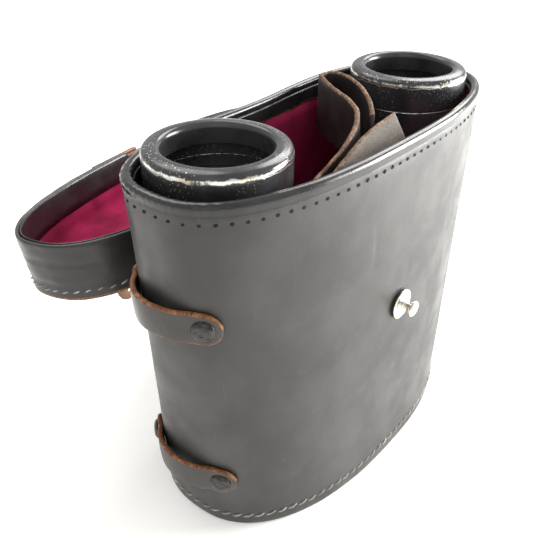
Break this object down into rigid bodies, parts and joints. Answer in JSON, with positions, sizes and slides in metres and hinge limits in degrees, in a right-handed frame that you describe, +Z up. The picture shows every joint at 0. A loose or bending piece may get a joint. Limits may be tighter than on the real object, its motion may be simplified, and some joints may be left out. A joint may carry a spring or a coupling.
{
  "type": "prism binoculars in a carrying case",
  "caption": "Old prism binoculars standing objectives up in a stiff oval leather case, lid hinged open behind, with a neck strap and a closing stud.",
  "frame": {"origin": "middle of the underside of the case", "axes": "+X along the case towards its far end, -Y out of the front face that carries the closing stud, +Z up"},
  "size_m": [0.2238, 0.1926, 0.1806],
  "materials": {
    "case_leather": "black, satin, worn",
    "brown_leather": "brown with tan worn edges",
    "crimson_velvet": "short pile",
    "black_paint": "gloss black, worn to brass at the edges",
    "hard_rubber": "matt black",
    "nickel": "yellowed nickel plate",
    "brass": "satin",
    "rivet_steel": "dark, dull",
    "glass": "clear"
  },
  "bodies": {
    "case": {"case_wall": "case_leather", "case_base": "case_leather", "mouth_band": "case_leather", "wall_lining": "crimson_velvet", "base_lining": "crimson_velvet", "near_upper_loop": "brown_leather", "near_lower_loop": "brown_leather", "far_upper_loop": "brown_leather", "far_lower_loop": "brown_leather", "near_upper_front_rivet": "rivet_steel", "near_upper_back_rivet": "rivet_steel", "near_lower_front_rivet": "rivet_steel", "near_lower_back_rivet": "rivet_steel", "far_upper_front_rivet": "rivet_steel", "far_upper_back_rivet": "rivet_steel", "far_lower_front_rivet": "rivet_steel", "far_lower_back_rivet": "rivet_steel", "closure_stud": "nickel", "stud_washer": "nickel", "case_hinge_strip": "brown_leather"},
    "lid": {"lid_wall": "case_leather", "lid_top": "case_leather", "lid_band": "case_leather", "lid_lining": "crimson_velvet", "lid_hinge_strip": "brown_leather", "tongue_root": "brown_leather"},
    "tongue": {"closing_tongue": "brown_leather"},
    "glasses": {"left_objective_ring": "black_paint", "left_objective_tube": "black_paint", "left_objective_lens": "glass", "left_lens_retainer": "brass", "left_prism_housing": "black_paint", "left_cover_plate": "black_paint", "left_prism_shelf": "brass", "left_lower_prism": "glass", "left_upper_prism": "glass", "left_eyepiece_sleeve": "black_paint", "hinge_shaft": "black_paint", "neck_strap": "brown_leather"},
    "right_half": {"right_objective_ring": "black_paint", "right_objective_tube": "black_paint", "right_objective_lens": "glass", "right_lens_retainer": "brass", "right_prism_housing": "black_paint", "right_cover_plate": "black_paint", "right_prism_shelf": "brass", "right_lower_prism": "glass", "right_upper_prism": "glass", "right_eyepiece_sleeve": "black_paint"},
    "focus_wheel": {"focus_wheel": "black_paint"},
    "left_eyepiece": {"left_ocular_tube": "black_paint", "left_eye_lens": "glass", "left_eyecup": "hard_rubber", "left_bridge_arm": "black_paint"},
    "right_eyepiece": {"right_ocular_tube": "black_paint", "right_eye_lens": "glass", "right_eyecup": "hard_rubber", "right_bridge_arm": "black_paint"}
  },
  "joints": [
    {"name": "lid_hinge", "type": "hinge", "parent": "case", "child": "lid", "pos_m": [0, 0.0443, 0.1544], "axis": [0.9954, 0.0958, 0], "range_deg": [0, 187]},
    {"name": "tongue_hinge", "type": "hinge", "parent": "lid", "child": "tongue", "pos_m": [-0.01717, 0.13092, 0.12104], "axis": [0.9817, 0.1901, -0.0117], "range_deg": [0, 169]},
    {"name": "lift_out", "type": "slide", "parent": "case", "child": "glasses", "axis": [0, 0, 1], "range_m": [0, 0.21]},
    {"name": "body_fold", "type": "hinge", "parent": "glasses", "child": "right_half", "pos_m": [0, 0, 0.0737], "axis": [0, 0, 1], "range_deg": [-2, 0]},
    {"name": "focus_turn", "type": "hinge", "parent": "glasses", "child": "focus_wheel", "pos_m": [0, 0, 0.039], "axis": [0, 0, 1], "range_deg": [0, 270]},
    {"name": "left_focus_slide", "type": "slide", "parent": "glasses", "child": "left_eyepiece", "axis": [0, 0, 1], "range_m": [0, 0.006]},
    {"name": "right_focus_slide", "type": "slide", "parent": "right_half", "child": "right_eyepiece", "axis": [0, 0, 1], "range_m": [0, 0.006]}
  ],
  "couplings": [
    {"joint": "focus_turn", "follows": "left_focus_slide", "rad_per_m": 785.39},
    {"joint": "right_focus_slide", "follows": "left_focus_slide", "ratio": 1}
  ]
}
